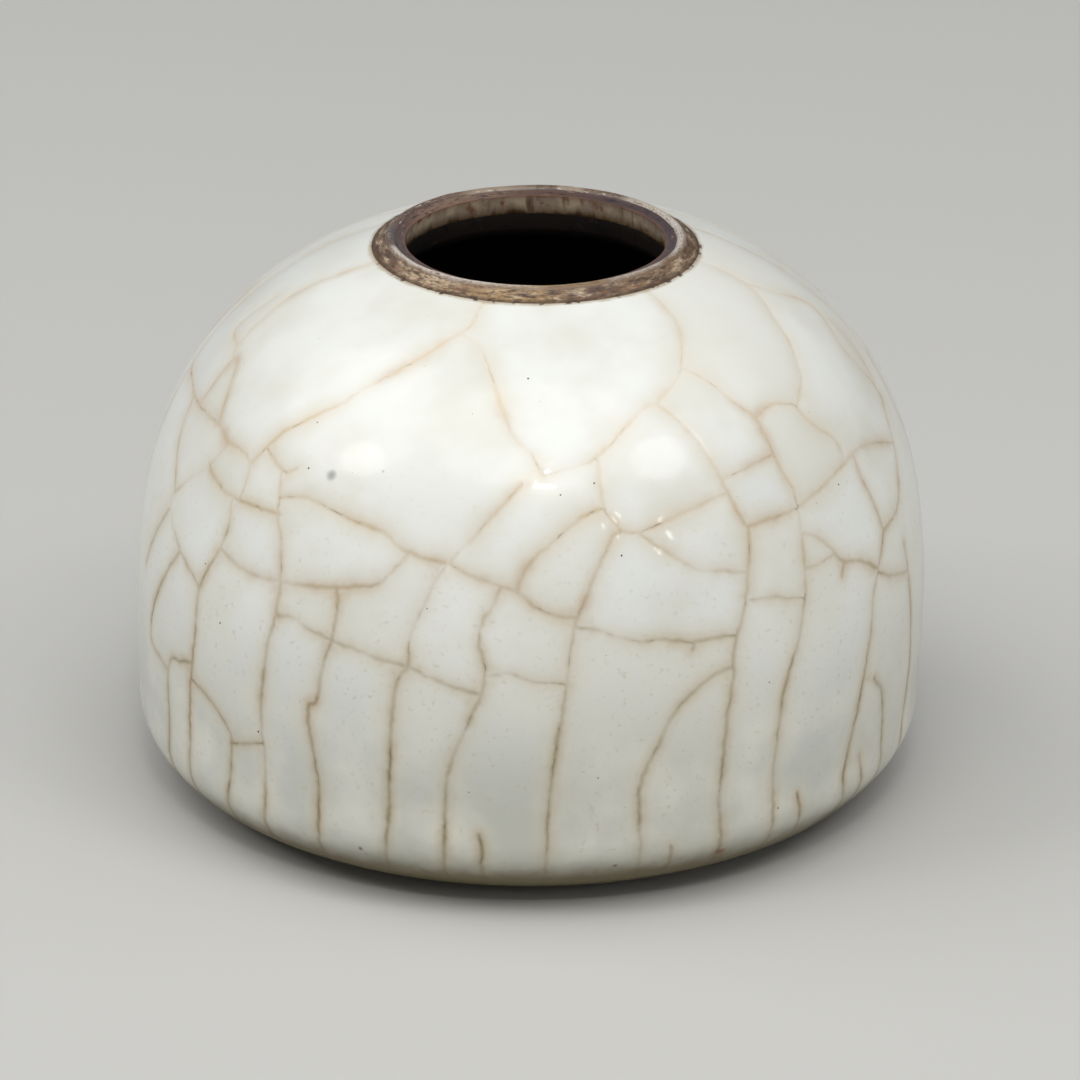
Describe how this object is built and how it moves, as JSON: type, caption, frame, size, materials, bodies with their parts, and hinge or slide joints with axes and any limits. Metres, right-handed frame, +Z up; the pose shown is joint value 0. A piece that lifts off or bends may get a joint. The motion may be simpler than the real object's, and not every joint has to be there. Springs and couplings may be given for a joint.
{
  "type": "brush washer",
  "caption": "Low beehive-shaped stoneware water pot for rinsing brushes, with a narrow brown-dressed mouth, crackled white glaze and a brown foot ring.",
  "frame": {"origin": "middle of the foot ring's flat face, on the table", "axes": "+Z up along the pot's axis, out of its mouth; the pot is turned, so X and Y are any two level directions"},
  "size_m": [0.095, 0.095, 0.0673],
  "materials": {
    "brown_stoneware": "unglazed, fired, dry",
    "dark_slip": "fired slip, dull",
    "neck_glaze": "thin run glaze, semi-gloss",
    "lip_iron_dressing": "iron wash, satin",
    "bead_glaze": "thin glaze, gloss",
    "collar_iron_dressing": "iron wash, satin",
    "crackled_glaze": "thick crackled glaze, gloss",
    "foot_iron_dressing": "iron wash, dull",
    "base_glaze": "crackled glaze, gloss"
  },
  "bodies": {
    "root": {"clay_body": "brown_stoneware", "inner_slip": "dark_slip", "neck_glaze": "neck_glaze", "lip_band": "lip_iron_dressing", "rim_bead": "bead_glaze", "collar_band": "collar_iron_dressing", "outer_glaze": "crackled_glaze", "foot_band": "foot_iron_dressing", "base_glaze": "base_glaze"}
  },
  "joints": []
}
